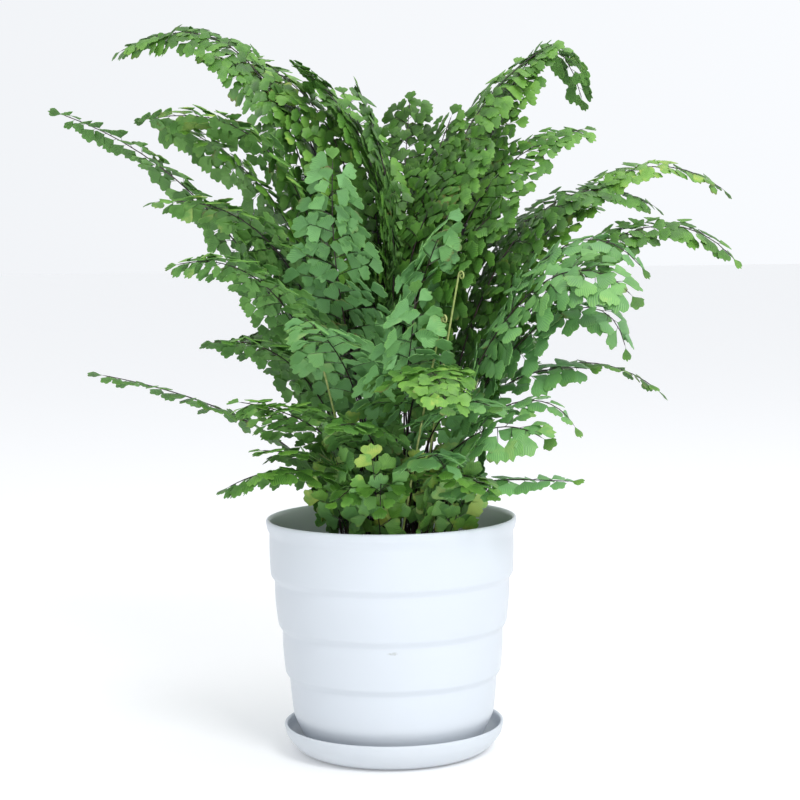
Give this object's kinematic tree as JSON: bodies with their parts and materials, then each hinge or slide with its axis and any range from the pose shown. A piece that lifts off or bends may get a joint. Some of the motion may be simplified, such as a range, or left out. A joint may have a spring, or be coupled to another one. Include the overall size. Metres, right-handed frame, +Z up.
{
  "type": "potted maidenhair fern",
  "caption": "Bushy maidenhair fern: arching fronds on dark wiry stems, standing in soil in a white banded plastic pot on its matching saucer.",
  "frame": {"origin": "middle of the saucer's flat underside", "axes": "+Z up; -Y is the front; +X to the right seen from the front"},
  "size_m": [0.4102, 0.32, 0.4376],
  "materials": {
    "pot_plastic": "white moulded plastic, semi-gloss",
    "saucer_plastic": "white moulded plastic, semi-gloss",
    "potting_soil": "loose peat and bark potting mix, matte",
    "frond": "living leaf, satin green, on dark purple-brown stems"
  },
  "bodies": {
    "root": {"pot": "pot_plastic", "saucer": "saucer_plastic", "soil": "potting_soil", "frond_01": "frond", "frond_02": "frond", "frond_03": "frond", "frond_04": "frond", "frond_05": "frond", "frond_06": "frond", "frond_07": "frond", "frond_08": "frond", "frond_09": "frond", "frond_10": "frond", "frond_11": "frond", "frond_12": "frond", "frond_13": "frond", "frond_14": "frond", "frond_15": "frond", "frond_16": "frond", "frond_17": "frond", "frond_18": "frond", "frond_19": "frond", "frond_20": "frond", "frond_21": "frond", "frond_22": "frond", "frond_23": "frond", "frond_24": "frond", "frond_25": "frond", "frond_26": "frond", "frond_27": "frond", "frond_28": "frond", "frond_29": "frond", "frond_30": "frond", "frond_31": "frond", "frond_32": "frond", "frond_33": "frond", "frond_34": "frond", "frond_35": "frond", "frond_36": "frond", "frond_37": "frond", "frond_38": "frond", "frond_39": "frond", "frond_40": "frond", "frond_41": "frond", "frond_42": "frond", "frond_43": "frond", "frond_44": "frond", "frond_45": "frond", "frond_46": "frond", "frond_47": "frond", "frond_48": "frond", "frond_49": "frond", "frond_50": "frond", "frond_51": "frond", "frond_52": "frond", "frond_53": "frond", "frond_54": "frond", "frond_55": "frond", "frond_56": "frond"}
  },
  "joints": []
}
